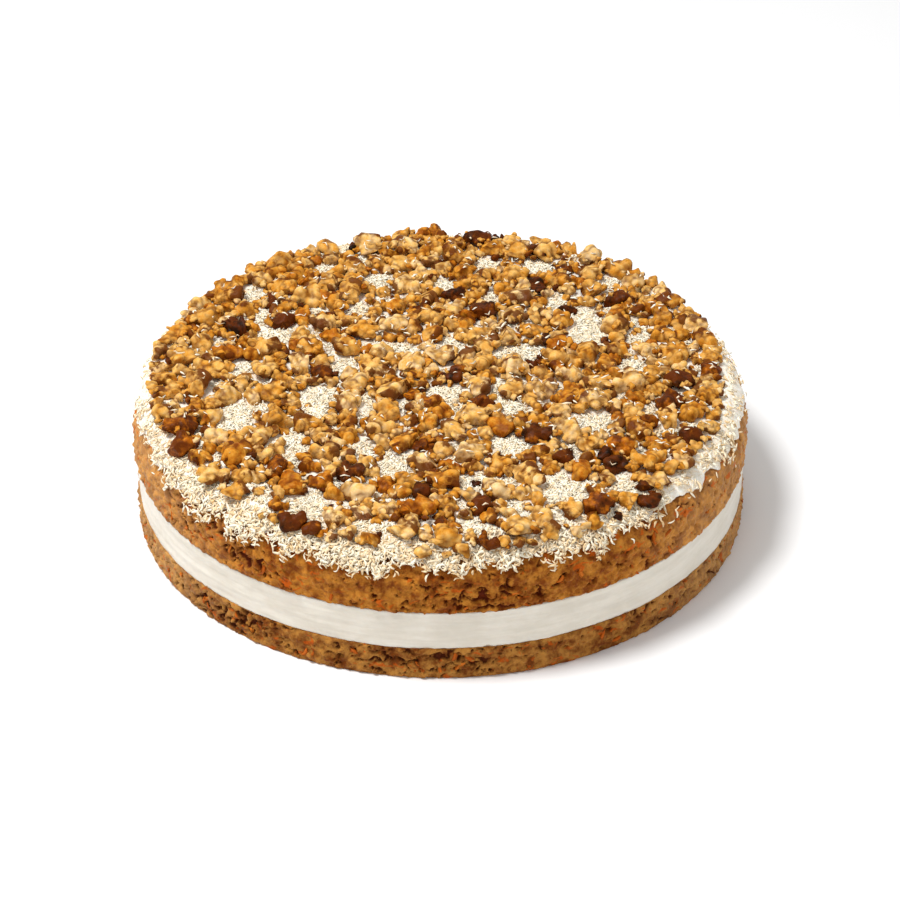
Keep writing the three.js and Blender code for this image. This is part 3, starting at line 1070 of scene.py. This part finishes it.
def lay_shoulder_shreds(rng, count):
    """Shreds on the shoulder: a ragged band in front, a thinner one behind, few at the sides."""
    points = []
    while len(points) < count:
        heading = rng.uniform(0, 2 * math.pi)
        angle = math.radians(rng.uniform(SHOULDER_SHREDS_START, 90))
        x, y = math.cos(heading), math.sin(heading)
        thick = coconut_cover(-y) * (1 - RIGHT_THINNING * max(0, x))
        uneven = noise.noise(Vector((x, y, 0.4)) * 14)
        edge = math.radians(BAND_EDGE - BAND_DROP * thick - BAND_WAVE * uneven)
        share = 1 / (1 + math.exp(-(angle - edge) / math.radians(BAND_BLUR)))
        patch = 0.5 + noise.noise(Vector((11 * x, 11 * y, 4 * angle)))
        cover = 0.06 + 0.9 * thick + 0.5 * max(0, patch - 0.6)
        if rng.random() > share * min(1, cover) * math.cos(angle - 0.5):
            continue
        above = rng.uniform(0.3, 1.2) * MM + COAT_THICKNESS * 0.7 * math.sin(angle)
        radius, height = on_shoulder(angle, above)
        turn = shred_turn(rng, x, y, math.pi / 2 - angle)
        place = (radius * x, radius * y, height)
        size = rng.uniform(*SHOULDER_SHRED_LENGTHS)
        points.append((place, turn, size, rng.uniform(0.3, 1.2), rng.integers(SHRED_KINDS)))
    return points


def shred_shapes(name, first_seed, steps, width, thickness, bend):
    shapes = []
    for kind in range(SHRED_KINDS):
        shapes.append(strip_shape(first_seed + kind, steps, width, thickness, bend))
    return collect(name, shapes)


def make_coconut(pile):
    rng = np.random.default_rng(COCONUT_SEED)
    shreds = shred_shapes("coconut_shred", 0, 2, 0.18, 0.11, 1.3)
    curls = shred_shapes("coconut_curl", 30, 3, 0.19, 0.13, 1.6)
    kept = ["nut_topping"]
    top = lay_top_shreds(pile, rng, TOP_SHREDS)
    scatter("coconut_top", shreds, top, COCONUT, kept, 5, 0.3)
    shoulder = lay_shoulder_shreds(rng, SHOULDER_SHREDS)
    scatter("coconut_shoulder", curls, shoulder, COCONUT, kept, 6, 0.3)


# Carrot shreds in the crumb

def lay_carrots(rng, count, low, high):
    points = []
    for index in range(count):
        heading = rng.uniform(0, 2 * math.pi)
        height = rng.uniform(low, high)
        radius = CAKE_RADIUS - rng.uniform(*CARROT_DEPTHS) * MM
        past = max(0, height - (SPONGE_TOP - SHOULDER_RADIUS))
        if past:
            radius -= SHOULDER_RADIUS - math.sqrt(SHOULDER_RADIUS**2 - past**2)
        x, y = radius * math.cos(heading), radius * math.sin(heading)
        lean = math.pi / 2 - math.asin(min(1, past / SHOULDER_RADIUS))
        turn = shred_turn(rng, x, y, lean)
        size = rng.uniform(*CARROT_LENGTHS)
        points.append(((x, y, height), turn, size, rng.uniform(0, 1), index % SHRED_KINDS))
    return points


def make_carrots():
    rng = np.random.default_rng(CARROT_SEED)
    shapes = shred_shapes("carrot_shred", 60, 6, 0.19, 0.08, 0.6)
    upper = lay_carrots(rng, UPPER_CARROTS, FILLING_TOP + 2 * MM, SPONGE_TOP - 6 * MM)
    lower = lay_carrots(rng, LOWER_CARROTS, 3 * MM, FILLING_BASE - 3 * MM)
    scatter("carrot_upper", shapes, upper, CARROT, ["sponge_top"], 7, 0.3)
    scatter("carrot_lower", shapes, lower, CARROT, ["sponge_bottom"], 8, 0.3)


# Setting

CAMERA_DISTANCE = 1.035
CAMERA_ELEVATION = math.radians(34.47)
CAMERA_LENS = 107.6
CAMERA_AIM = Vector((3.6, 0, 19.6)) * MM
WORLD_STRENGTH = 0.57
FLOOR_REACH = 6.0


def make_camera():
    data = bpy.data.cameras.new("camera")
    data.lens = CAMERA_LENS
    data.clip_end = 20
    camera = bpy.data.objects.new("camera", data)
    camera.location = (
        0, -CAMERA_DISTANCE * math.cos(CAMERA_ELEVATION), CAMERA_DISTANCE * math.sin(CAMERA_ELEVATION),
    )
    camera.rotation_euler = (CAMERA_AIM - camera.location).to_track_quat("-Z", "Y").to_euler()
    bpy.context.scene.collection.objects.link(camera)
    bpy.context.scene.camera = camera


def make_light(name, place, size, power):
    data = bpy.data.lights.new(name, "AREA")
    data.shape = "DISK"
    data.size = size
    data.energy = power
    light = bpy.data.objects.new(name, data)
    light.location = place
    light.rotation_euler = (-Vector(place)).to_track_quat("-Z", "Y").to_euler()
    bpy.context.scene.collection.objects.link(light)


def make_setting():
    world = bpy.data.worlds.new("studio")
    world.use_nodes = True
    background = world.node_tree.nodes["Background"]
    background.inputs["Color"].default_value = (1, 1, 1, 1)
    background.inputs["Strength"].default_value = WORLD_STRENGTH
    bpy.context.scene.world = world
    bpy.context.scene.view_settings.view_transform = "Standard"
    make_light("key", (-0.5, -0.15, 1.3), 0.4, 17.5)
    make_light("fill", (0.9, -1.0, 0.7), 0.8, 1.5)
    sides = ((-1, -1), (1, -1), (1, 1), (-1, 1))
    corners = [(FLOOR_REACH * x, FLOOR_REACH * y, 0) for x, y in sides]
    floor = new_object("floor", corners, [(0, 1, 2, 3)])
    material, tree, shader = new_material("floor", 0.7, specular=0.2)
    shade = noise_value(tree, object_place(tree), 0.4)
    colour = blend_colours(tree, shade, linear(240, 240, 240), linear(244, 244, 244))
    finish_material(tree, shader, colour)
    floor.data.materials.append(material)


make_camera()
make_setting()
pile = Pile()
make_nuts(pile)
make_coconut(pile)
make_carrots()
make_sponge("lower_crumb", "sponge_bottom", SHADED_LOWER_CRUMB, 0.0, FILLING_BASE, False)
make_filling()
make_sponge("upper_crumb", "sponge_top", UPPER_CRUMB, FILLING_TOP, SPONGE_TOP, True)
make_coat()
